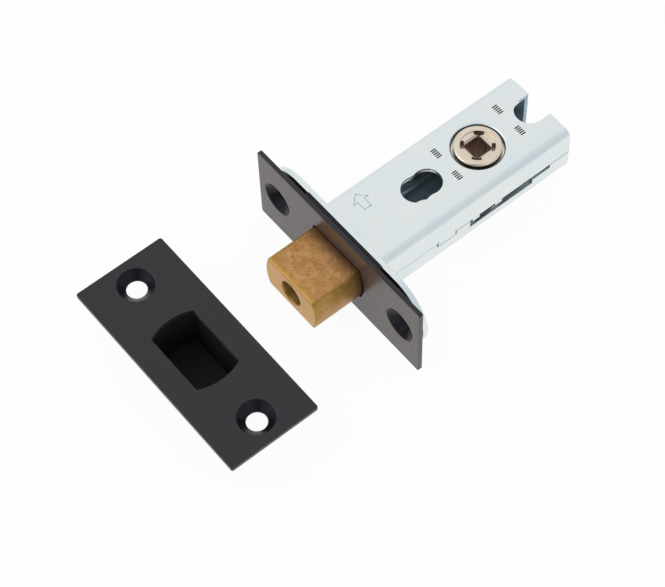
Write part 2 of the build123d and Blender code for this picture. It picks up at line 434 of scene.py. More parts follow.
class NodeSheet:
    """Node tree of a material or of the world, with short calls that add and link its nodes."""

    coordinates = "Generated"

    def __init__(self, owner: Material | bpy.types.World) -> None:
        """Open the owner's node tree."""
        owner.use_nodes = True
        self.tree = owner.node_tree

    @functools.cached_property
    def place(self) -> Socket:
        """Coordinates, added at first use."""
        return self.add("ShaderNodeTexCoord").outputs[self.coordinates]

    def add(self, kind: str, **settings: object) -> bpy.types.Node:
        """Add a node of a kind and set its properties."""
        node = self.tree.nodes.new(kind)
        for name, value in settings.items():
            setattr(node, name, value)
        return node

    def feed(self, source: Socket, target: Socket) -> None:
        """Link an output to an input."""
        self.tree.links.new(source, target)

    def reckon(self, how: str, first: Socket, second: Socket | float | None = None) -> Socket:
        """Work out a value from one or two others.

        Args:
            how: Name of the operation.
            first: First value.
            second: Second value or link, if the operation has one.

        Returns:
            The result.
        """
        node = self.add("ShaderNodeMath", operation=how)
        self.feed(first, node.inputs[0])
        if isinstance(second, float):
            node.inputs[1].default_value = second
        elif second is not None:
            self.feed(second, node.inputs[1])
        return node.outputs[0]

    def remap(self, value: Socket, source: Spot, target: Spot, kind: str = "LINEAR") -> Socket:
        """Bring a value from one range into another.

        Args:
            value: Value to bring over.
            source: Ends of its own range.
            target: Ends of the new range.
            kind: How it runs between the ends.

        Returns:
            The value in its new range.
        """
        node = self.add("ShaderNodeMapRange", interpolation_type=kind)
        self.feed(value, node.inputs["Value"])
        names = ("From Min", "From Max", "To Min", "To Max")
        for name, number in zip(names, (*source, *target)):
            node.inputs[name].default_value = number
        return node.outputs["Result"]

    def blend(self, share: Socket, first: Colour | Socket, second: Colour | Socket) -> Socket:
        """Blend two colours.

        Args:
            share: How much of the second colour shows.
            first: Colour or link.
            second: Colour or link.

        Returns:
            The blended colour.
        """
        node = self.add("ShaderNodeMix", data_type="RGBA")
        self.feed(share, node.inputs["Factor"])
        sockets = [socket for socket in node.inputs if socket.type == "RGBA"]
        for socket, colour in zip(sockets, (first, second)):
            if isinstance(colour, tuple):
                socket.default_value = (*colour, 1)
            else:
                self.feed(colour, socket)
        return next(socket for socket in node.outputs if socket.type == "RGBA")

    def toward(self, direction: Vector | Triple) -> Socket:
        """Share of the coordinates that lies along a direction."""
        node = self.add("ShaderNodeVectorMath", operation="DOT_PRODUCT")
        node.inputs[1].default_value = direction
        self.feed(self.place, node.inputs[0])
        return node.outputs["Value"]

    def by_ray(self, camera: float, gloss: float) -> Socket:
        """Shares for rays of the camera and of gloss, and none for any other ray.

        Args:
            camera: Value for rays of the camera.
            gloss: Value for rays of gloss.

        Returns:
            The value.
        """
        path = self.add("ShaderNodeLightPath")
        seen = self.reckon("MULTIPLY", path.outputs["Is Camera Ray"], camera)
        mirrored = self.reckon("MULTIPLY", path.outputs["Is Glossy Ray"], gloss)
        return self.reckon("MAXIMUM", seen, mirrored)

    def show(self, share: Socket, first: bpy.types.Node, second: bpy.types.Node, output: str) -> None:
        """Lead a mix of two shaders to the tree's output.

        Args:
            share: How much of the second shader shows.
            first: First shader.
            second: Second shader.
            output: Name of the output node.
        """
        mix = self.add("ShaderNodeMixShader")
        for source, target in zip((share, first.outputs[0], second.outputs[0]), mix.inputs):
            self.feed(source, target)
        self.feed(mix.outputs[0], self.tree.nodes[output].inputs["Surface"])


class Skin(NodeSheet):
    """New material with one principled shader, in the object's own coordinates."""

    coordinates = "Object"

    def __init__(self, name: str) -> None:
        """Make the material and find its shader."""
        self.material = bpy.data.materials.new(name)
        super().__init__(self.material)
        self.shader = self.tree.nodes["Principled BSDF"]

    def stretched(self, scale: Triple) -> Socket:
        """Object coordinates scaled along each axis."""
        mapping = self.add("ShaderNodeMapping")
        mapping.inputs["Scale"].default_value = scale
        self.feed(self.place, mapping.inputs["Vector"])
        return mapping.outputs["Vector"]

    def noise(self, grain: float, detail: float, place: Socket | None = None) -> Socket:
        """Add a noise whose grains are of a given size.

        Args:
            grain: Size of a grain in millimetres.
            detail: Octaves of finer grain.
            place: Coordinates, if not the object's own.

        Returns:
            The noise value.
        """
        node = self.add("ShaderNodeTexNoise")
        node.inputs["Scale"].default_value = 1 / (grain * MM)
        node.inputs["Detail"].default_value = detail
        self.feed(place or self.place, node.inputs["Vector"])
        return node.outputs["Fac"]

    def span(self, value: Socket, low: float, high: float, spread: float = 0.2) -> Socket:
        """Bring a noise value into a range.

        Args:
            value: Noise value about a half.
            low: Result at the dark end.
            high: Result at the bright end.
            spread: Distance from a half at which the ends are reached.

        Returns:
            The value in its new range.
        """
        return self.remap(value, (0.5 - spread, 0.5 + spread), (low, high))

    def nearing(self, axis: str, level: float, reach: float) -> Socket:
        """Value that rises from 0 to 1 as a point nears a level of an axis, on either side.

        Args:
            axis: X, Y or Z.
            level: Place of the level in millimetres.
            reach: Where the rise starts, counted from the level.

        Returns:
            The value.
        """
        parts = self.add("ShaderNodeSeparateXYZ")
        self.feed(self.place, parts.inputs[0])
        away = self.reckon("ABSOLUTE", parts.outputs[axis])
        return self.remap(away, (abs(level + reach) * MM, abs(level) * MM), (0, 1), "SMOOTHSTEP")

    def colour(self, source: Socket) -> None:
        """Feed the base colour."""
        self.feed(source, self.shader.inputs["Base Color"])

    def tint(self, value: Socket, first: Colour, second: Colour) -> None:
        """Colour the surface between two colours by a noise value."""
        self.colour(self.blend(self.span(value, 0, 1), first, second))

    def polish(self, value: Socket, smooth: float, rough: float) -> None:
        """Let the roughness run between two ends by a noise value."""
        self.feed(self.span(value, smooth, rough), self.shader.inputs["Roughness"])

    def bump(self, height: Socket, relief: Relief) -> None:
        """Raise the surface by a height, on top of any bump so far.

        Args:
            height: Height value from 0 to 1.
            relief: Depth in millimetres and strength of the effect.
        """
        depth, strength = relief
        node = self.add("ShaderNodeBump")
        node.inputs["Strength"].default_value = strength
        node.inputs["Distance"].default_value = depth * MM
        self.feed(height, node.inputs["Height"])
        under = self.shader.inputs["Normal"]
        if under.is_linked:
            self.feed(under.links[0].from_socket, node.inputs["Normal"])
        self.feed(node.outputs["Normal"], under)

    def set(self, **values: float | tuple[float, ...]) -> None:
        """Set constant values on the shader's own sockets."""
        for name, value in values.items():
            self.shader.inputs[name.replace("_", " ")].default_value = value


@dataclass(frozen=True)
class BlackPaint:
    """Satin black powder coat over pressed steel."""

    name: str = "black_paint_coat"
    slot: Slot = Slot.BLACK_PAINT
    deep: Colour = (0.0045, 0.0032, 0.0070)
    pale: Colour = (0.0085, 0.0068, 0.0120)
    smooth: float = 0.22
    rough: float = 0.34
    peel_mm: float = 0.9
    peel_relief: Relief = (0.012, 0.25)
    speck_mm: float = 0.12
    speck_relief: Relief = (0.004, 0.3)
    streak_mm: float = 0.35
    streak_stretch: float = 25.0
    streak_relief: Relief = (0.006, 0.1)
    bloom: float = 0.22
    bloom_rough: float = 0.4
    # painted reflection: warm sheen tint standing in for light thrown back from the brass bolt
    brass_reflection_tint: Colour = (1.0, 0.76, 0.60)
    ior: float = 1.48

    def make(self) -> Material:
        """Build the material."""
        skin = Skin(self.name)
        peel = skin.noise(self.peel_mm, 3)
        specks = skin.noise(self.speck_mm, 2)
        long = 1 / self.streak_stretch
        streaks = skin.noise(self.streak_mm, 3, skin.stretched((1, long, long)))
        skin.tint(specks, self.deep, self.pale)
        skin.polish(streaks, self.smooth, self.rough)
        skin.bump(peel, self.peel_relief)
        skin.bump(streaks, self.streak_relief)
        skin.bump(specks, self.speck_relief)
        skin.set(IOR=self.ior, Sheen_Weight=self.bloom, Sheen_Roughness=self.bloom_rough)
        skin.set(Sheen_Tint=(*self.brass_reflection_tint, 1))
        return skin.material


@dataclass(frozen=True)
class BrightZinc:
    """Blue-white zinc plate on rolled steel sheet."""

    slot: Slot = Slot.BRIGHT_ZINC
    cool: Colour = (0.74, 0.81, 0.825)
    warm: Colour = (0.80, 0.83, 0.82)
    smooth: float = 0.24
    rough: float = 0.36
    cloud_mm: float = 7.0
    streak_mm: float = 0.5
    streak_stretch: float = 14.0
    streak_relief: Relief = (0.004, 0.25)

    def make(self) -> Material:
        """Build the material."""
        skin = Skin("bright_zinc_plate")
        clouds = skin.noise(self.cloud_mm, 4)
        streaks = skin.noise(self.streak_mm, 4, skin.stretched((1, 1 / self.streak_stretch, 1)))
        skin.tint(clouds, self.cool, self.warm)
        skin.polish(streaks, self.smooth, self.rough)
        skin.bump(streaks, self.streak_relief)
        skin.set(Metallic=1)
        return skin.material


@dataclass(frozen=True)
class ShadedZinc:
    """Zinc plate darkened as painted shade, for the inside of the case, the groove of the seam and the
    arrow's strokes.
    """

    slot: Slot = Slot.BRIGHT_ZINC
    dark: Colour = (0.33, 0.44, 0.52)
    pale: Colour = (0.50, 0.63, 0.71)
    smooth: float = 0.35
    rough: float = 0.5
    blotch_mm: float = 3.0
    metal: float = 0.4

    def make(self) -> Material:
        """Build the material."""
        skin = Skin("zinc_inside_painted_shade")
        blotches = skin.noise(self.blotch_mm, 3)
        skin.tint(blotches, self.dark, self.pale)
        skin.polish(blotches, self.smooth, self.rough)
        skin.set(Metallic=self.metal)
        return skin.material


@dataclass(frozen=True)
class RawBrass:
    """Unpolished cast brass with a grainy skin, gold along the bolt's margins and darkened at its root
    by painted shade from the forend.
    """

    name: str = "raw_cast_brass"
    slot: Slot = Slot.RAW_BRASS
    brown: Colour = (0.30, 0.137, 0.047)
    pink: Colour = (0.60, 0.315, 0.132)
    rose: Colour = (0.82, 0.470, 0.230)
    gold: Colour = (0.38, 0.220, 0.044)
    # painted shade: dark brown that the brass fades to near the forend
    root_shade: Colour = (0.12, 0.055, 0.026)
    grain_mm: float = 0.45
    grain_spread: float = 0.16
    grain_relief: Relief = (0.04, 0.5)
    mottle_mm: float = 1.5
    mottle_share: float = 0.5
    patch_mm: float = 2.6
    patch_share: float = 0.5
    patch_spread: float = 0.15
    smooth: float = 0.36
    rough: float = 0.52
    margin_least: float = 0.3
    end_mm: float = -58.2
    end_margin_mm: float = 3.6
    flat_mm: float = 8.6
    flat_margin_mm: float = 2.2
    root_mm: float = -43.2
    root_reach_mm: float = 4.4

    def make(self) -> Material:
        """Build the material."""
        skin = Skin(self.name)
        grains = skin.noise(self.grain_mm, 4)
        patches = skin.noise(self.patch_mm, 4)
        mottle = skin.span(skin.noise(self.mottle_mm, 3), 0, self.mottle_share, self.patch_spread)
        grainy = skin.blend(skin.span(grains, 0, 1, self.grain_spread), self.brown, self.pink)
        mottled = skin.blend(mottle, grainy, self.rose)
        at_end = skin.nearing("Y", self.end_mm, self.end_margin_mm)
        at_side = skin.nearing("X", self.flat_mm, -self.flat_margin_mm)
        at_edge = skin.reckon("MAXIMUM", at_end, at_side)
        margin = skin.reckon("MULTIPLY", at_edge, skin.span(patches, self.margin_least, 1))
        patchy = skin.span(patches, 0, self.patch_share, self.patch_spread)
        clear = skin.blend(skin.reckon("MAXIMUM", margin, patchy), mottled, self.gold)
        # painted shade: the brass darkens towards its root at the forend
        in_root_shade = skin.nearing("Y", self.root_mm, -self.root_reach_mm)
        skin.colour(skin.blend(in_root_shade, clear, self.root_shade))
        skin.polish(grains, self.smooth, self.rough)
        skin.bump(grains, self.grain_relief)
        skin.set(Metallic=1)
        return skin.material


@dataclass(frozen=True)
class Nickel:
    """Warm nickel plate with turning marks about the spindle."""

    slot: Slot = Slot.NICKEL
    warm: Colour = (0.70, 0.60, 0.485)
    pale: Colour = (0.78, 0.69, 0.575)
    smooth: float = 0.2
    rough: float = 0.32
    mark_mm: float = 0.22
    mark_waver: float = 1.5
    mark_relief: Relief = (0.003, 0.2)
    cloud_mm: float = 2.0
    wave_rate: float = 20.0

    def make(self) -> Material:
        """Build the material."""
        skin = Skin("warm_nickel_plate")
        marks = skin.add("ShaderNodeTexWave", wave_type="RINGS", rings_direction="Z")
        marks.inputs["Scale"].default_value = math.tau / self.wave_rate / (self.mark_mm * MM)
        marks.inputs["Distortion"].default_value = self.mark_waver
        skin.feed(skin.place, marks.inputs["Vector"])
        clouds = skin.noise(self.cloud_mm, 3)
        skin.tint(clouds, self.warm, self.pale)
        skin.polish(clouds, self.smooth, self.rough)
        skin.bump(marks.outputs["Fac"], self.mark_relief)
        skin.set(Metallic=1)
        return skin.material


@dataclass(frozen=True)
class BlackNylon:
    """Matte moulded nylon."""

    slot: Slot = Slot.BLACK_NYLON
    deep: Colour = (0.0110, 0.0102, 0.0145)
    pale: Colour = (0.0195, 0.0182, 0.0240)
    smooth: float = 0.55
    rough: float = 0.7
    grain_mm: float = 0.2
    grain_relief: Relief = (0.01, 0.3)
    ior: float = 1.3

    def make(self) -> Material:
        """Build the material."""
        skin = Skin("black_moulded_nylon")
        grains = skin.noise(self.grain_mm, 3)
        skin.tint(grains, self.deep, self.pale)
        skin.polish(grains, self.smooth, self.rough)
        skin.bump(grains, self.grain_relief)
        skin.set(IOR=self.ior)
        return skin.material


@dataclass(frozen=True)
class DarkSteel:
    """Steel, nickel or zinc that is plain, tempered, dull, tarnished or darkened as painted shade, its
    grains drawn out along Z.
    """

    name: str
    slot: Slot
    dark: Colour
    pale: Colour
    grain_mm: float = 0.3
    grain_relief: Relief = (0.004, 0.2)
    upright: float = 1.0
    smooth: float = 0.3
    rough: float = 0.45

    def make(self) -> Material:
        """Build the material."""
        skin = Skin(self.name)
        grains = skin.noise(self.grain_mm, 3, skin.stretched((1, 1, 1 / self.upright)))
        skin.tint(grains, self.dark, self.pale)
        skin.polish(grains, self.smooth, self.rough)
        skin.bump(grains, self.grain_relief)
        skin.set(Metallic=1)
        return skin.material


Finish = BlackPaint | BrightZinc | ShadedZinc | RawBrass | Nickel | BlackNylon | DarkSteel


@dataclass
class Paintbox:
    """Finishes of the lock, each made once and shared by its pieces."""

    paint: Finish = BlackPaint()
    # painted shade: black paint with no sheen and weaker gloss for the countersink walls
    sunk: Finish = BlackPaint("black_paint_painted_sink_shade", bloom=0.0, ior=1.28)
    zinc: Finish = BrightZinc()
    # painted shade: darker zinc for the inside of the case, the seam groove and the arrow's strokes
    zinc_shade: Finish = ShadedZinc()
    # painted shade: darkest zinc for the engraved bars and the seam groove behind the tabs
    groove_shade: Finish = DarkSteel(
        "zinc_painted_groove_shade",
        Slot.BRIGHT_ZINC,
        dark=(0.070, 0.083, 0.090),
        pale=(0.14, 0.16, 0.17),
    )
    brass: Finish = RawBrass()
    # painted light: a paler copy of the brass for the bolt's flat end
    end_lit_brass: Finish = RawBrass(
        "brass_painted_end_light",
        brown=(0.42, 0.21, 0.082),
        pink=(0.84, 0.51, 0.235),
        gold=(0.56, 0.335, 0.10),
        end_margin_mm=0.01,
    )
    bored: Finish = RawBrass(
        "bored_brass",
        brown=(0.40, 0.25, 0.08),
        pink=(0.66, 0.47, 0.22),
        gold=(0.52, 0.35, 0.09),
        smooth=0.45,
        rough=0.6,
    )
    nickel: Finish = Nickel()
    socket: Finish = DarkSteel(
        "tarnished_socket",
        Slot.NICKEL,
        dark=(0.10, 0.062, 0.052),
        pale=(0.72, 0.54, 0.47),
        grain_mm=0.6,
        upright=9.0,
    )
    # painted shade: near-black nickel for the faces down in the gap around the journal
    shade: Finish = DarkSteel(
        "nickel_painted_gap_shade",
        Slot.NICKEL,
        dark=(0.030, 0.028, 0.026),
        pale=(0.055, 0.050, 0.046),
    )
    pocket: Finish = DarkSteel(
        "tarnished_pocket",
        Slot.NICKEL,
        dark=(0.32, 0.23, 0.18),
        pale=(0.48, 0.36, 0.29),
    )
    ramp: Finish = DarkSteel(
        "dull_nickel",
        Slot.NICKEL,
        dark=(0.54, 0.51, 0.43),
        pale=(0.66, 0.61, 0.53),
        smooth=0.5,
        rough=0.65,
    )
    nylon: Finish = BlackNylon()
    steel: Finish = DarkSteel(
        "turned_steel",
        Slot.PLAIN_STEEL,
        dark=(0.48, 0.47, 0.44),
        pale=(0.62, 0.61, 0.58),
    )
    strip: Finish = DarkSteel(
        "tempered_strip",
        Slot.SPRING_STEEL,
        dark=(0.20, 0.20, 0.22),
        pale=(0.30, 0.30, 0.33),
    )
    made: dict[Finish, Material] = field(default_factory=dict)

    def material(self, finish: Finish) -> Material:
        """Give a finish's material, making it at first use."""
        if finish not in self.made:
            self.made[finish] = finish.make()
        return self.made[finish]

    def dress(self, piece: Solid, body: Body, node: str, finish: Finish) -> None:
        """Fix a piece to its body in place of a CAD node and give it its finish.

        Args:
            piece: Finished mesh.
            body: Body that it moves with.
            node: CAD node that it stands for.
            finish: Finish all over.
        """
        piece.data.materials.clear()
        piece.data.materials.append(self.material(finish))
        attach(piece, body.value)
        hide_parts(node)
        log.info("%s stands for %s on body %s", piece.name, node, body.value)

    def patch(self, piece: Solid, finish: Finish, chosen: FaceTest) -> None:
        """Give some faces of a dressed piece a second finish.

        Args:
            piece: Dressed piece.
            finish: Finish of the chosen faces.
            chosen: Test on a face's centre in millimetres and its normal.
        """
        material = self.material(finish)
        if material.name not in piece.data.materials:
            piece.data.materials.append(material)
        index = piece.data.materials.find(material.name)
        for face in piece.data.polygons:
            if chosen(face.center / MM, face.normal):
                face.material_index = index

    def coat(self, node: Solid, finish: Finish) -> None:
        """Give a CAD node that stays in view its finish.

        Args:
            node: Object of the CAD node.
            finish: Finish all over.
        """
        node.data.materials.clear()
        node.data.materials.append(self.material(finish))
        log.info("%s keeps its CAD form", node.name)


# Pieces of the lock


@dataclass(frozen=True)
class BowedSection:
    """Section of the bolt, lying in X and Y: two flats and two bowed sides."""

    reach: float
    half: float
    bow: float = 1.2

    @classmethod
    def of_bolt(cls) -> "BowedSection":
        """Read the section from the bolt's own box."""
        bolt = Extent.of("bolt_head")
        return cls(reach=bolt.high.x, half=bolt.high.z)

    def bar(self, name: str, low: float, high: float, grow: float = 0.0) -> Solid:
        """Make an upright bar of this section.

        Args:
            name: Name of the new object.
            low: Height of its lower end.
            high: Height of its upper end.
            grow: How much larger the section is all round.

        Returns:
            The bar.
        """
        radius = (self.half**2 + self.bow**2) / (2 * self.bow)
        centre = self.reach - radius
        reach, half = self.reach + grow, self.half + grow
        bar = block(name, (-reach - PAST_MM, -half, low), (reach + PAST_MM, half, high))
        for side in (-1, 1):
            start, end = (side * centre, 0, low - PAST_MM), (side * centre, 0, high + PAST_MM)
            combine(bar, drum("bow", start, end, radius + grow), Joinery.OVERLAP)
        return bar


@dataclass(frozen=True)
class PressedPlate:
    """Black face plate with a bolt opening and two pressed countersinks, modelled face up at z = 0."""

    section: BowedSection
    gap: float
    thick: float
    length: float
    width: float
    corner: float = 0.6
    screw_spacing: float = 46.0
    hole: float = 2.55
    sink: float = 4.7
    depth: float = 2.6
    land: float = 0.6
    ring: float = 0.95
    rim: float = 0.55
    edge: float = 0.14
    rim_steps: int = 5

    def sink_profile(self) -> list[Spot]:
        """Profile of the countersink cutter, whose rim rolls softly into the face.

        Returns:
            Points of radius and height.
        """
        slope = math.atan2(self.depth - self.land, self.sink - self.hole)
        start = (self.sink - self.rim * math.cos(slope) * 0.5, -self.rim * math.sin(slope) * 0.5)
        end = (self.sink + self.rim * 0.5, 0.0)
        rolled = []
        for step in range(self.rim_steps + 1):
            t = step / self.rim_steps
            radius = (1 - t) ** 2 * start[0] + 2 * t * (1 - t) * self.sink + t**2 * end[0]
            rolled.append((radius, (1 - t) ** 2 * start[1]))
        bottom = -self.depth - PAST_MM
        return [
            (0, bottom),
            (self.hole, bottom),
            (self.hole, self.land - self.depth),
            *rolled,
            (end[0], PAST_MM),
            (0, PAST_MM),
        ]

    def build(self, name: str) -> Solid:
        """Model the plate.

        Args:
            name: Name of the new object.

        Returns:
            The plate, lying face up.
        """
        across, along = self.length / 2, self.width / 2
        plate = block(name, (-across, -along, -self.thick), (across, along, 0))
        round_edges(plate, self.corner, runs_along(2))
        for side in (-1, 1):
            spot = side * self.screw_spacing / 2
            back, end = (spot, 0, -self.thick / 2), (spot, 0, -self.depth)
            boss = drum("dimple", back, end, self.sink + self.thick / 4, self.hole + self.ring)
            combine(plate, boss, Joinery.WELD)
        mouth = self.section.bar("mouth", -self.thick - PAST_MM, PAST_MM, self.gap)
        combine(plate, mouth, Joinery.CUT)
        for side in (-1, 1):
            sink = lathe("countersink", self.sink_profile())
            combine(plate, shift(sink, (side * self.screw_spacing / 2, 0, 0)), Joinery.CUT)
        return soften(plate, self.edge)

    def in_sink(self, across: float, along: float, facing: float) -> bool:
        """Tell whether a face is on the wall of a countersink.

        Args:
            across: Place of the face along the plate, from the plate's middle.
            along: Place of the face over the plate's width, from the plate's middle.
            facing: Share of the face's normal that is square to the plate.

        Returns:
            True for a face on the wall.
        """
        off_axis = math.hypot(abs(across) - self.screw_spacing / 2, along)
        return off_axis < self.sink and abs(facing) < FLAT


@dataclass(frozen=True)
class ForendStack:
    """Black forend, nylon guide and plated inner forend, one behind the other."""

    section: BowedSection
    forend_gap: float = 0.3
    bush_gap: float = 0.15
    inner_gap: float = 0.45
    bush_corner: float = 1.0
    screw_spacing: float = 46.0
    screw_hole: float = 2.55
    lug_low: float = 2.0
    lug_high: float = 5.0
    lug_clear: float = 0.05
    shell_wall: float = 1.2
    edge: float = 0.12
    end_steps: int = 20

    def build(self, paints: Paintbox) -> None:
        """Model and dress the three plates."""
        self.outer(paints)
        self.bush(paints)
        self.inner(paints)

    def outer(self, paints: Paintbox) -> None:
        """Model the black forend."""
        room, behind = Extent.of("outer_forend"), Extent.of("bolt_bush")
        thick = behind.low.y - room.low.y
        shape = PressedPlate(self.section, self.forend_gap, thick, room.size.x, room.size.z)
        plate = shift(stand(shape.build("forend_face_plate")), (0, room.low.y, 0))
        paints.dress(plate, Body.CASE, "outer_forend", paints.paint)
        # painted shade: the countersink walls get the darker black paint
        paints.patch(plate, paints.sunk, lambda at, normal: shape.in_sink(at.x, at.z, normal.y))

    def slab(self, name: str, room: Extent, corner: float, gap: float, segments: int = 6) -> Solid:
        """Model a plate with the bolt's mouth in it, lying face up.

        Args:
            name: Name of the new object.
            room: Box of the plate where it stands.
            corner: Radius of its corners.
            gap: Gap around the bolt.
            segments: Facets of a corner.

        Returns:
            The plate.
        """
        front, back = -room.low.y, -room.high.y
        plate = block(name, (room.low.x, room.low.z, back), (room.high.x, room.high.z, front))
        round_edges(plate, corner, runs_along(2), segments)
        mouth = self.section.bar("mouth", back - PAST_MM, front + PAST_MM, gap)
        return combine(plate, mouth, Joinery.CUT)

    def bush(self, paints: Paintbox) -> None:
        """Model the nylon plate that guides the bolt."""
        room = Extent.of("bolt_bush")
        plate = self.slab("bolt_guide_bush", room, self.bush_corner, self.bush_gap)
        paints.dress(stand(soften(plate, self.edge)), Body.CASE, "bolt_bush", paints.nylon)

    def inner(self, paints: Paintbox) -> None:
        """Model the plated plate with full-round ends."""
        room, outside = Extent.of("inner_forend"), Extent.of("case_upper_shell").high.x
        round_end = room.size.z / 2 - CLOSE_MM
        plate = self.slab("inner_forend_plate", room, round_end, self.inner_gap, self.end_steps)
        low, high = -room.high.y - PAST_MM, -room.low.y + PAST_MM
        clear = self.lug_clear
        for side in (-1, 1):
            spot = side * self.screw_spacing / 2
            hole = drum("screw_hole", (spot, 0, low), (spot, 0, high), self.screw_hole)
            combine(plate, hole, Joinery.CUT)
            reach = flanked(side, outside - self.shell_wall - clear, outside + clear)
            for level in (-1, 1):
                rise = flanked(level, self.lug_low - clear, self.lug_high + clear)
                slot = block("lug_slot", (reach[0], rise[0], low), (reach[1], rise[1], high))
                combine(plate, slot, Joinery.CUT)
        paints.dress(stand(soften(plate, self.edge)), Body.CASE, "inner_forend", paints.zinc)


@dataclass(frozen=True)
class FaceMarks:
    """Shallow marks on the case's upper face: four groups of plain bars and an outlined arrow."""

    groups: tuple[Spot, ...] = ((-5.2, 11.0), (3.0, 11.0), (-4.9, -9.0), (3.2, -9.3))
    bars: tuple[float, ...] = (-1.2, -0.6, 0.0, 0.6, 1.2)
    bar_long: float = 1.5
    bar_stroke: float = 0.36
    bar_depth: float = 0.25
    arrow_at: Spot = (-5.8, -31.6)
    arrow_long: float = 4.8
    arrow_wide: float = 4.4
    shaft_wide: float = 2.1
    head_long: float = 2.2
    arrow_stroke: float = 0.15
    arrow_depth: float = 0.12

    def engrave(self, shell: Solid) -> Solid:
        """Sink the marks into the shell's upper face.

        Args:
            shell: Upper shell.

        Returns:
            The shell.
        """
        tools = [*self.group_tools(), *self.arrow_tools()]
        activate(tools[0])
        for tool in tools:
            tool.select_set(True)
        bpy.ops.object.join()
        return combine(shell, tools[0], Joinery.CUT, crossing=True)

    def stroke(self, start: Vector, end: Vector, width: float, depth: float) -> Solid:
        """Cutter for one straight stroke.

        Args:
            start: First end on the face.
            end: Other end on the face.
            width: Width of the stroke.
            depth: Depth below the face.

        Returns:
            The cutter.
        """
        level = Extent.of("case_upper_shell").high.z
        run = end - start
        half = run.length / 2 + width / 2
        cutter = block("stroke", (-half, -width / 2, level - depth), (half, width / 2, level + PAST_MM))
        cutter.rotation_euler = (0, 0, math.atan2(run.y, run.x))
        middle = (start + end) / 2
        cutter.location = (middle.x * MM, middle.y * MM, 0)
        return settle(cutter)

    def group_tools(self) -> list[Solid]:
        """Cutters for the four groups of bars."""
        made = []
        half = (self.bar_long - self.bar_stroke) / 2
        for place in self.groups:
            for across in self.bars:
                start, end = (Vector(place) + Vector((across, reach)) for reach in (-half, half))
                made.append(self.stroke(start, end, self.bar_stroke, self.bar_depth))
        return made

    def arrow_tools(self) -> list[Solid]:
        """Cutters for the outline of an arrow that points along -X."""
        tail, wide, shaft = self.arrow_long / 2, self.arrow_wide / 2, self.shaft_wide / 2
        tip, neck = -tail, self.head_long - tail
        upper = [(tip, 0.0), (neck, wide), (neck, shaft), (tail, shaft)]
        outline = [*upper, *((x, -y) for x, y in reversed(upper[1:]))]
        corners = [Vector(self.arrow_at) + Vector(corner) for corner in outline]
        pairs = zip(corners, [*corners[1:], corners[0]])
        return [self.stroke(start, end, self.arrow_stroke, self.arrow_depth) for start, end in pairs]

    def sunk_at(self, centre: Vector, spot: Spot, reach: float) -> bool:
        """Tell whether a face lies in the sunk strokes around a spot.

        Args:
            centre: Centre of the face.
            spot: Middle of the mark.
            reach: How far its strokes reach along each axis.

        Returns:
            True for a face in the strokes.
        """
        level = Extent.of("case_upper_shell").high.z
        sunk = level - self.bar_depth - CLOSE_MM < centre.z < level - CLOSE_MM
        return sunk and max(abs(centre.x - spot[0]), abs(centre.y - spot[1])) < reach

    def is_bar(self, centre: Vector, normal: Vector) -> bool:
        """Tell whether a face lies in a bar of a group."""
        return any(self.sunk_at(centre, spot, self.bar_long) for spot in self.groups)

    def is_arrow(self, centre: Vector, normal: Vector) -> bool:
        """Tell whether a face lies in a stroke of the arrow."""
        return self.sunk_at(centre, self.arrow_at, self.arrow_long)


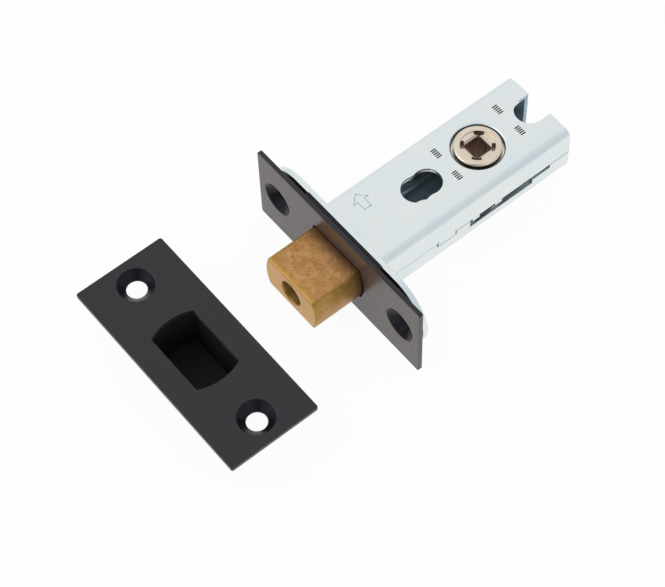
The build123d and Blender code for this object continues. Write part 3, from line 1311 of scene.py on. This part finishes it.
@dataclass(frozen=True)
class CaseShells:
    """Two bent sheet shells that clip together at a seam."""

    marks: FaceMarks = FaceMarks()
    wall: float = 1.2
    bend: float = 2.4
    hub_hole: float = 6.55
    hole_roll: float = 0.6
    through: float = 3.75
    through_near: float = 16.0
    through_far: float = 19.5
    through_neck: float = 3.55
    notch: float = 3.9
    notch_at: float = 16.8
    lug_low: float = 2.0
    lug_high: float = 5.0
    tab_front: float = -22.2
    tab_length: float = 5.6
    tab_clear: float = 0.25
    slot_front: float = -12.0
    slot_rear: float = 8.1
    slot_end: float = 13.8
    slot_deep: float = 2.7
    slot_shallow: float = 1.4
    edge: float = 0.12
    bend_steps: int = 8
    roll_steps: int = 5

    def build(self, paints: Paintbox) -> None:
        """Model and dress both shells."""
        upper = soften(self.upper(), self.edge)
        smooth(self.marks.engrave(upper))
        lower = soften(self.lower(), self.edge)
        for shell, node in ((upper, "case_upper_shell"), (lower, "case_lower_shell")):
            paints.dress(shell, Body.CASE, node, paints.zinc)
            # painted shade: the inside of the case and the hub hole's wall get the darker zinc
            paints.patch(shell, paints.zinc_shade, self.is_inside)
            # painted shade: the groove where the shells meet gets the darker zinc
            paints.patch(shell, paints.zinc_shade, self.is_seam)
            # painted shade: the seam groove behind the tabs gets the darkest zinc
            paints.patch(shell, paints.groove_shade, self.is_rear_seam)
        # painted shade: the engraved bars get the darkest zinc
        paints.patch(upper, paints.groove_shade, self.marks.is_bar)
        # painted shade: the arrow's shallow strokes get the darker zinc
        paints.patch(upper, paints.zinc_shade, self.marks.is_arrow)

    def is_inside(self, centre: Vector, normal: Vector) -> bool:
        """Tell whether a face lines the inside of the case."""
        room = Extent.of("case_upper_shell")
        deep = CLOSE_MM + self.edge
        if centre.xy.length < self.hub_hole + CLOSE_MM and abs(centre.z) < room.high.z - self.hole_roll:
            return True
        return (
            abs(centre.x) < room.high.x - self.wall + deep
            and abs(centre.z) < room.high.z - self.wall + deep
            and centre.y < room.high.y - self.wall + deep
        )

    def is_seam(self, centre: Vector, normal: Vector) -> bool:
        """Tell whether a face lies in the fine groove where the shells meet."""
        room = Extent.of("case_upper_shell")
        outside = abs(centre.x) > room.high.x - self.edge or centre.y > room.high.y - self.edge
        return outside and abs(centre.z - Extent.of("case_lower_shell").high.z) < self.edge

    def is_rear_seam(self, centre: Vector, normal: Vector) -> bool:
        """Tell whether a face of the groove lies behind the front of the tabs."""
        return centre.y > self.tab_front and self.is_seam(centre, normal)

    def tray(self, name: str, face: float, rim: float) -> Solid:
        """Model a bent tray with an end wall, its holes, its notch and its front lugs.

        Args:
            name: Name of the new object.
            face: Height of its flat face.
            rim: Height of its open rim.

        Returns:
            The tray.
        """
        room = Extent.of("case_upper_shell")
        front = Extent.of("inner_forend").high.y
        side = 1 if face > rim else -1
        wide, rear = room.high.x, room.high.y
        low, high = sorted((face, rim))
        tray = block(name, (-wide, front, low), (wide, rear, high))
        round_edges(tray, self.bend, both(runs_along(1), both_on(2, face)), self.bend_steps)
        inner_face = face - side * self.wall
        low, high = sorted((inner_face, rim - side * PAST_MM))
        inside = wide - self.wall
        hollow = block("hollow", (-inside, front - PAST_MM, low), (inside, rear - self.wall, high))
        inner_bends = both(runs_along(1), both_on(2, inner_face))
        round_edges(hollow, self.bend - self.wall, inner_bends, self.bend_steps)
        combine(tray, hollow, Joinery.CUT)
        low, high = sorted((inner_face - side * PAST_MM, face + side * PAST_MM))
        neck = self.through_neck
        through = block("through", (-neck, -self.through_far, low), (neck, -self.through_near, high))
        for spot in (-self.through_far, -self.through_near):
            combine(through, drum("round", (0, spot, low), (0, spot, high), self.through), Joinery.WELD)
        combine(tray, through, Joinery.CUT)
        tall = abs(face) + PAST_MM
        notch = block("notch", (-self.notch, self.notch_at, -tall), (self.notch, rear + PAST_MM, tall))
        end = drum("round", (0, self.notch_at, -tall), (0, self.notch_at, tall), self.notch)
        combine(notch, end, Joinery.WELD)
        combine(tray, notch, Joinery.CUT)
        combine(tray, self.hub_cutter(face, side), Joinery.CUT)
        start = Extent.of("inner_forend").low.y
        for flank in (-1, 1):
            across = flanked(flank, wide - self.wall, wide)
            rise = flanked(side, self.lug_low, self.lug_high)
            lug = block("lug", (across[0], start, rise[0]), (across[1], front + self.wall, rise[1]))
            combine(tray, lug, Joinery.WELD)
        return tray

    def hub_cutter(self, face: float, side: int) -> Solid:
        """Cutter for the follower's hole, with a rolled edge at the outer face.

        Args:
            face: Height of the outer face.
            side: 1 for the upper shell and -1 for the lower one.

        Returns:
            The cutter.
        """
        roll = self.hole_roll
        level = abs(face)
        rolled = []
        for step in range(self.roll_steps + 1):
            turn = math.pi / 2 * step / self.roll_steps
            radius = self.hub_hole + roll * (1 - math.cos(turn))
            rolled.append((radius, level - roll * (1 - math.sin(turn))))
        low, high = level - self.wall - PAST_MM, level + PAST_MM
        profile = [(0, low), (self.hub_hole, low), *rolled, (self.hub_hole + roll, high), (0, high)]
        cutter = lathe("hub_cutter", profile)
        if side < 0:
            cutter.rotation_euler = (math.pi, 0, 0)
            settle(cutter)
        return cutter

    def tabs(self, grow: float) -> list[Solid]:
        """Tabs that hang from the upper shell's rim on both sides.

        Args:
            grow: How much larger they are all round.

        Returns:
            The two tabs.
        """
        room = Extent.of("case_upper_shell")
        seam = Extent.of("case_lower_shell").high.z
        made = []
        for flank in (-1, 1):
            across = flanked(flank, room.high.x - self.wall - grow, room.high.x + grow)
            low = (across[0], self.tab_front - grow, room.low.z - grow)
            high = (across[1], self.tab_front + self.tab_length + grow, seam + self.wall)
            made.append(block("tab", low, high))
        return made

    def upper(self) -> Solid:
        """Model the upper shell with its tabs."""
        room = Extent.of("case_upper_shell")
        seam = Extent.of("case_lower_shell").high.z
        shell = self.tray("upper_shell_pressing", room.high.z, seam)
        for tab in self.tabs(0.0):
            combine(shell, tab, Joinery.WELD)
        return shell

    def lower(self) -> Solid:
        """Model the lower shell with its tab notches and side slots."""
        room = Extent.of("case_lower_shell")
        seam = room.high.z
        shell = self.tray("lower_shell_pressing", room.low.z, seam)
        for tab in self.tabs(self.tab_clear):
            combine(shell, tab, Joinery.CUT)
        steps = (
            (self.slot_front, self.slot_rear, self.slot_deep),
            (self.slot_rear, self.slot_end, self.slot_shallow),
        )
        for flank in (-1, 1):
            near, far = flanked(flank, room.high.x - self.wall - PAST_MM, room.high.x + PAST_MM)
            for front, rear, deep in steps:
                low, high = (near, front, seam - deep), (far, rear + CLOSE_MM, seam + PAST_MM)
                combine(shell, block("side_slot", low, high), Joinery.CUT)
        return shell


@dataclass(frozen=True)
class ThrownBolt:
    """Brass bolt with its end hole, the rivet in it and the forked tail behind it."""

    section: BowedSection
    nose: float = 1.5
    edge: float = 0.45
    hole: float = 3.4
    hole_depth: float = 9.0
    rivet: float = 1.6
    rivet_head: float = 2.8
    head_thick: float = 1.6
    peen: float = 2.6
    head_bevel: float = 0.5
    tail_thick: float = 1.4
    rail_in: float = 6.5
    flange_corner: float = 2.0
    rail_corner: float = 1.0
    lug_thick: float = 2.2
    lug_gap: float = 5.0
    finger_y: float = -6.4
    lug_round: float = 0.9
    lug_clear: float = 0.4
    ear_root: float = 1.0
    ear_low: float = -1.7
    ear_high: float = -0.7
    tail_edge: float = 0.12
    nose_steps: int = 5
    edge_steps: int = 4

    def build(self, paints: Paintbox) -> None:
        """Model and dress the bolt, its rivet and its tail."""
        self.head(paints)
        self.pin(paints)
        self.fork(paints)

    def head(self, paints: Paintbox) -> None:
        """Model the brass bolt."""
        room = Extent.of("bolt_head")
        front, back = -room.low.y, -room.high.y
        bar = self.section.bar("brass_bolt", back, front)
        round_edges(bar, self.nose, both(both_on(2, front), runs_along(0)), self.nose_steps)
        bore = drum("rivet_bore", (0, 0, back - PAST_MM), (0, 0, front), self.rivet)
        combine(bar, bore, Joinery.CUT)
        seat = front - self.hole_depth
        hole = drum("end_hole", (0, 0, seat), (0, 0, front + PAST_MM), self.hole)
        combine(bar, hole, Joinery.CUT)
        stand(soften(bar, self.edge, self.edge_steps))
        paints.dress(bar, Body.BOLT, "bolt_head", paints.brass)
        # painted light: the flat end gets the paler copy of the brass
        paints.patch(bar, paints.end_lit_brass, self.is_end)
        paints.patch(bar, paints.bored, self.is_bore)

    def is_end(self, centre: Vector, normal: Vector) -> bool:
        """Tell whether a face is part of the flat end."""
        return normal.y < -FLAT and centre.y < Extent.of("bolt_head").low.y + CLOSE_MM

    def is_bore(self, centre: Vector, normal: Vector) -> bool:
        """Tell whether a face is part of the end hole's wall."""
        return math.hypot(centre.x, centre.z) < self.hole + CLOSE_MM and abs(normal.y) < UPRIGHT

    def pin(self, paints: Paintbox) -> None:
        """Turn the rivet."""
        room = Extent.of("bolt_rivet")
        front, back = -room.low.y, -room.high.y
        flange = -Extent.of("bolt_head").high.y - self.tail_thick
        chamfer = self.head_bevel
        profile = [
            (0, back),
            (self.peen, back),
            (self.peen, flange),
            (self.rivet, flange),
            (self.rivet, front - self.head_thick),
            (self.rivet_head, front - self.head_thick),
            (self.rivet_head, front - chamfer),
            (self.rivet_head - chamfer, front),
            (0, front),
        ]
        pin = soften(lathe("turned_rivet", profile), self.tail_edge)
        paints.dress(stand(pin), Body.BOLT, "bolt_rivet", paints.steel)

    def fork(self, paints: Paintbox) -> None:
        """Model the pressed tail: a flange, two rails and two lugs with ears on the right-hand rail."""
        room = Extent.of("bolt_tail")
        wide, low = -room.low.x, room.low.z
        top = low + self.tail_thick
        front = room.low.y
        fork = block("bolt_tail_fork", (-wide, front, low), (wide, front + self.tail_thick, room.high.z))
        round_edges(fork, self.flange_corner, both(runs_along(1), both_on(2, room.high.z)))
        for flank in (-1, 1):
            near, far = flanked(flank, self.rail_in, wide)
            rail = block("rail", (near, front, low), (far, room.high.y, top))
            round_edges(rail, self.rail_corner, both(runs_along(2), both_on(1, room.high.y)))
            combine(fork, rail, Joinery.WELD)
        crest = Extent.of("case_lower_shell").high.z - self.lug_clear
        for end in (-1, 1):
            inner = self.finger_y + end * self.lug_gap / 2
            near, far = sorted((inner, inner + end * self.lug_thick))
            lug = block("lug", (self.rail_in, near, low), (wide, far, crest))
            round_edges(lug, self.lug_round, both(runs_along(0), both_on(2, crest)))
            combine(fork, lug, Joinery.WELD)
            root, tip = (wide - self.ear_root, near, self.ear_low), (room.high.x, far, self.ear_high)
            combine(fork, block("ear", root, tip), Joinery.WELD)
        behind = front + self.tail_thick + PAST_MM
        bore = drum("bore", (0, front - PAST_MM, 0), (0, behind, 0), self.rivet)
        combine(fork, bore, Joinery.CUT)
        paints.dress(soften(fork, self.tail_edge), Body.BOLT, "bolt_tail", paints.zinc)


@dataclass(frozen=True)
class SpindleFollower:
    """Follower with a journal in each shell, a square socket with lead-ins and a crank finger."""

    journal: float = 6.0
    rim: float = 0.3
    collar: float = 7.3
    collar_low: float = 5.0
    collar_high: float = 5.9
    waist: float = 5.6
    square: float = 5.0
    step: float = 4.35
    step_depth: float = 0.3
    ramp_depth: float = 0.8
    pocket_wide: float = 2.4
    pocket_depth: float = 1.6
    pocket_bite: float = 0.15
    finger_tip: float = 2.0
    finger_neck: float = 2.8
    finger_low: float = -2.9
    finger_high: float = -0.9
    finger_reach: float = 9.05
    finger_turn: float = -45.0
    flat_at: float = 5.2
    flat_low: float = -3.0
    flat_high: float = 1.8
    edge: float = 0.06

    def build(self, paints: Paintbox) -> None:
        """Model and dress the follower."""
        top = Extent.of("follower").high.z
        upper = [
            (self.waist, self.collar_low),
            (self.collar, self.collar_low),
            (self.collar, self.collar_high),
            (self.journal, self.collar_high),
            (self.journal, top - self.rim),
            (self.journal - self.rim, top),
            (0, top),
        ]
        lower = [(radius, -height) for radius, height in reversed(upper)]
        hub = lathe("spindle_follower", [*lower, *upper])
        wide = self.collar + PAST_MM
        left = block("flat", (-wide, -wide, self.flat_low), (-self.flat_at, wide, self.flat_high))
        back = block("flat", (-wide, self.flat_at, self.flat_low), (wide, wide, self.flat_high))
        for cutter in (left, back):
            combine(hub, cutter, Joinery.CUT)
        combine(hub, self.finger(), Joinery.WELD)
        for turn in (0.0, math.pi):
            mouth = self.mouth(top)
            mouth.rotation_euler = (turn, 0, 0)
            combine(hub, settle(mouth), Joinery.CUT)
        half, tall = self.square / 2, top + PAST_MM
        combine(hub, block("socket", (-half, -half, -tall), (half, half, tall)), Joinery.CUT)
        paints.dress(soften(hub, self.edge), Body.FOLLOWER, "follower", paints.nickel)
        paints.patch(hub, paints.ramp, self.is_ramp)
        paints.patch(hub, paints.socket, self.is_socket)
        paints.patch(hub, paints.pocket, self.is_pocket)
        # painted shade: faces down in the gap around the journal get the near-black nickel
        paints.patch(hub, paints.shade, self.is_sunk)

    def mouth(self, top: float) -> Solid:
        """Cutter for the socket's upper mouth: four ramps and corner pockets below a round step.

        Args:
            top: Height of the journal's face.

        Returns:
            The cutter.
        """
        half, slope = self.square / 2, self.ramp_depth - self.step_depth
        low, high = top - self.ramp_depth, top - self.step_depth
        ramps = block("mouth", (-half, -half, low), (half, half, high))
        activate(ramps)
        bpy.ops.object.mode_set(mode="EDIT")
        bpy.ops.mesh.select_mode(type="FACE")
        bpy.ops.mesh.select_all(action="DESELECT")
        mesh = bmesh.from_edit_mesh(ramps.data)
        for face in mesh.faces:
            face.select_set(face.normal.z > FLAT)
        bmesh.update_edit_mesh(ramps.data)
        spread = (half + slope) / half
        bpy.ops.transform.resize(value=(spread, spread, 1), center_override=(0, 0, high * MM))
        bpy.ops.object.mode_set(mode="OBJECT")
        near = half * math.sqrt(2) - self.pocket_bite
        for quarter in range(4):
            start = (near, -self.pocket_wide / 2, top - self.pocket_depth)
            end = (self.step + PAST_MM, self.pocket_wide / 2, top + PAST_MM)
            pocket = block("pocket", start, end)
            pocket.rotation_euler = (0, 0, math.radians(45 + 90 * quarter))
            combine(ramps, settle(pocket), Joinery.WELD)
        step = drum("step", (0, 0, high), (0, 0, top + PAST_MM), self.step)
        combine(ramps, step, Joinery.WELD)
        well = drum("well", (0, 0, low - self.pocket_depth), (0, 0, top + 2 * PAST_MM), self.step)
        return combine(ramps, well, Joinery.OVERLAP)

    def is_socket(self, centre: Vector, normal: Vector) -> bool:
        """Tell whether a face is a wall of the square socket."""
        reach = self.square / 2 + CLOSE_MM
        return max(abs(centre.x), abs(centre.y)) < reach and abs(normal.z) < UPRIGHT

    def is_ramp(self, centre: Vector, normal: Vector) -> bool:
        """Tell whether a face is one of the ramps into the socket."""
        return centre.xy.length < self.step and STEEP < abs(normal.z) < FLAT

    def is_pocket(self, centre: Vector, normal: Vector) -> bool:
        """Tell whether a face lines a corner pocket of the socket's mouth."""
        top = Extent.of("follower").high.z
        outside = max(abs(centre.x), abs(centre.y)) > self.square / 2 + CLOSE_MM
        depth = top - abs(centre.z) - CLOSE_MM
        sunk = self.step_depth < depth < self.pocket_depth
        steep = abs(normal.z) < STEEP or depth > self.ramp_depth
        return centre.xy.length < self.step + CLOSE_MM and outside and sunk and steep

    def is_sunk(self, centre: Vector, normal: Vector) -> bool:
        """Tell whether a face lies down in the gap around the journal."""
        face = Extent.of("case_upper_shell").high.z
        return centre.xy.length > self.journal - self.rim and abs(centre.z) < face - self.rim

    def finger(self) -> Solid:
        """Model the crank finger, turned to where the thrown bolt holds it.

        Returns:
            The finger.
        """
        half = self.finger_neck / 2
        low, high = (0, -half, self.finger_low), (self.finger_reach, half, self.finger_high)
        finger = block("finger", low, high)
        start, end = (self.finger_reach, 0, self.finger_low), (self.finger_reach, 0, self.finger_high)
        combine(finger, drum("tip", start, end, self.finger_tip), Joinery.WELD)
        finger.rotation_euler = (0, 0, math.radians(self.finger_turn))
        return settle(finger)


@dataclass(frozen=True)
class StrikeSet:
    """Black strike plate and the moulded box below its opening."""

    section: BowedSection
    gap: float = 0.65
    wall: float = 1.0
    foot: float = 1.0
    edge: float = 0.12
    foot_steps: int = 5

    def build(self, paints: Paintbox) -> None:
        """Model and dress the plate and the box."""
        room, below = Extent.of("strike_plate"), Extent.of("dust_box")
        place = (room.middle.x, room.middle.y, room.high.z)
        thick = room.high.z - below.high.z
        shape = PressedPlate(self.section, self.gap, thick, room.size.x, room.size.y)
        plate = shift(shape.build("strike_face_plate"), place)
        paints.dress(plate, Body.CASE, "strike_plate", paints.paint)
        x, y = room.middle.xy
        # painted shade: the countersink walls get the darker black paint
        paints.patch(plate, paints.sunk, lambda at, normal: shape.in_sink(at.x - x, at.y - y, normal.z))
        deep = below.size.z
        box = self.section.bar("strike_dust_box", -deep, 0, self.gap + self.wall)
        round_edges(box, self.foot, both_on(2, -deep), self.foot_steps)
        hollow = self.section.bar("hollow", self.wall - deep, PAST_MM, self.gap)
        combine(box, hollow, Joinery.CUT)
        box = shift(soften(box, self.edge), (place[0], place[1], below.high.z))
        paints.dress(box, Body.CASE, "dust_box", paints.nylon)


# Studio


@dataclass(frozen=True)
class SoftLamp:
    """Square soft lamp, with lengths in millimetres and its power in watts."""

    name: str
    place: Triple
    side: float
    power: float

    def hang(self, aim: Triple) -> None:
        """Hang the lamp so that it faces a point.

        Args:
            aim: The point in millimetres.
        """
        light = bpy.data.lights.new(self.name, "AREA")
        light.size = self.side * MM
        light.energy = self.power
        lamp = bpy.data.objects.new(self.name, light)
        bpy.context.scene.collection.objects.link(lamp)
        lamp.location = Vector(self.place) * MM
        run = (Vector(aim) - Vector(self.place)).normalized()
        lamp.rotation_euler = run.to_track_quat("-Z", "Y").to_euler()


@dataclass(frozen=True)
class Studio:
    """White sweep, soft lamps and the camera."""

    azimuth: float = 52.9
    elevation: float = 58.4
    roll: float = -2.4
    distance: float = 518.8
    aim: Triple = (6.3, -50.6, 0.0)
    lens: float = 119.0
    sensor: float = 36.0
    floor_size: float = 6000.0
    floor_tone: Colour = (0.95, 0.95, 0.95)
    floor_glow: float = 0.94
    gloss_glow: float = 0.9
    ambient: float = 0.75
    lean: Triple = (-0.72, 0.16, 0.80)
    sky: tuple[tuple[float, Colour], ...] = (
        (0.00, (0.72, 0.75, 0.78)),
        (0.45, (0.77, 0.80, 0.84)),
        (0.80, (0.81, 0.84, 0.87)),
        (0.94, (0.89, 0.90, 0.92)),
        (1.00, (0.95, 0.95, 0.95)),
    )
    hatch: Colour = (0.20, 0.21, 0.23)
    hatch_rise: float = 40.0
    hatch_core: float = 12.0
    hatch_reach: float = 34.0
    lamps: tuple[SoftLamp, ...] = (
        SoftLamp("key_lamp", (-360.0, -520.0, 540.0), 640.0, 1.5),
        SoftLamp("fill_lamp", (640.0, -220.0, 180.0), 640.0, 0.5),
    )

    def build(self) -> None:
        """Set up the floor, the world, the lamps and the camera."""
        bpy.context.scene.view_settings.view_transform = "Standard"
        self.floor()
        self.world()
        for lamp in self.lamps:
            lamp.hang(self.aim)
        self.camera()

    def floor(self) -> None:
        """Lay the pale floor under the forend's lower edge and the dust box."""
        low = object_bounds()[0].z
        bpy.ops.object.select_all(action="DESELECT")
        bpy.ops.mesh.primitive_plane_add(size=self.floor_size * MM, location=(0, 0, low))
        floor = named("studio_floor")
        white = bpy.data.materials.new("studio_white")
        sheet = NodeSheet(white)
        sheet.tree.nodes.remove(sheet.tree.nodes["Principled BSDF"])
        matte = sheet.add("ShaderNodeBsdfDiffuse")
        matte.inputs["Color"].default_value = (*self.floor_tone, 1)
        glow = sheet.add("ShaderNodeEmission")
        sheet.show(sheet.by_ray(self.floor_glow, self.gloss_glow), matte, glow, "Material Output")
        floor.data.materials.append(white)
        floor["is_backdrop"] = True

    def world(self) -> None:
        """Surround the object with a white tent that has a dark hatch on the camera's side."""
        world = bpy.data.worlds.new("white_tent")
        bpy.context.scene.world = world
        sheet = NodeSheet(world)
        ambient = sheet.tree.nodes["Background"]
        ambient.inputs["Strength"].default_value = self.ambient
        ambient.inputs["Color"].default_value = (1, 1, 1, 1)
        ramp = sheet.add("ShaderNodeValToRGB")
        stops = ramp.color_ramp.elements
        stops.remove(stops[1])
        stops[0].position = self.sky[0][0]
        stops[0].color = (*self.sky[0][1], 1)
        for level, colour in self.sky[1:]:
            stops.new(level).color = (*colour, 1)
        sheet.feed(sheet.toward(self.lean), ramp.inputs["Fac"])
        rim, core = (math.cos(math.radians(angle)) for angle in (self.hatch_reach, self.hatch_core))
        facing = sheet.toward(self.camera_side(self.hatch_rise))
        share = sheet.remap(facing, (rim, core), (0, 1), "SMOOTHSTEP")
        tent = sheet.add("ShaderNodeBackground")
        sheet.feed(sheet.blend(share, ramp.outputs["Color"], self.hatch), tent.inputs["Color"])
        sheet.show(sheet.by_ray(1.0, 1.0), ambient, tent, "World Output")

    def camera_side(self, elevation: float) -> Vector:
        """Direction that rises from the object on the camera's side at an angle in degrees."""
        turn, rise = math.radians(self.azimuth), math.radians(elevation)
        level = math.cos(rise)
        return Vector((math.sin(turn) * level, -math.cos(turn) * level, math.sin(rise)))

    def camera(self) -> None:
        """Place the camera at the photograph's viewing angle."""
        back = self.camera_side(self.elevation)
        data = bpy.data.cameras.new("camera")
        data.lens = self.lens
        data.sensor_width = self.sensor
        camera = bpy.data.objects.new("camera", data)
        bpy.context.scene.collection.objects.link(camera)
        camera.location = (Vector(self.aim) + back * self.distance) * MM
        aimed = (-back).to_track_quat("-Z", "Y")
        rolled = aimed @ Quaternion((0, 0, 1), math.radians(self.roll))
        camera.rotation_euler = rolled.to_euler()
        bpy.context.scene.camera = camera


def main() -> None:
    """Build the pieces in order around the frame."""
    logging.basicConfig(level=logging.INFO, format="%(name)s: %(message)s")
    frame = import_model()
    Studio().build()
    paints = Paintbox()
    section = BowedSection.of_bolt()
    ForendStack(section).build(paints)
    CaseShells().build(paints)
    ThrownBolt(section).build(paints)
    SpindleFollower().build(paints)
    StrikeSet(section).build(paints)
    paints.coat(frame["nodes"]["detent_spring"], paints.strip)


if __name__ == "__main__":
    main()
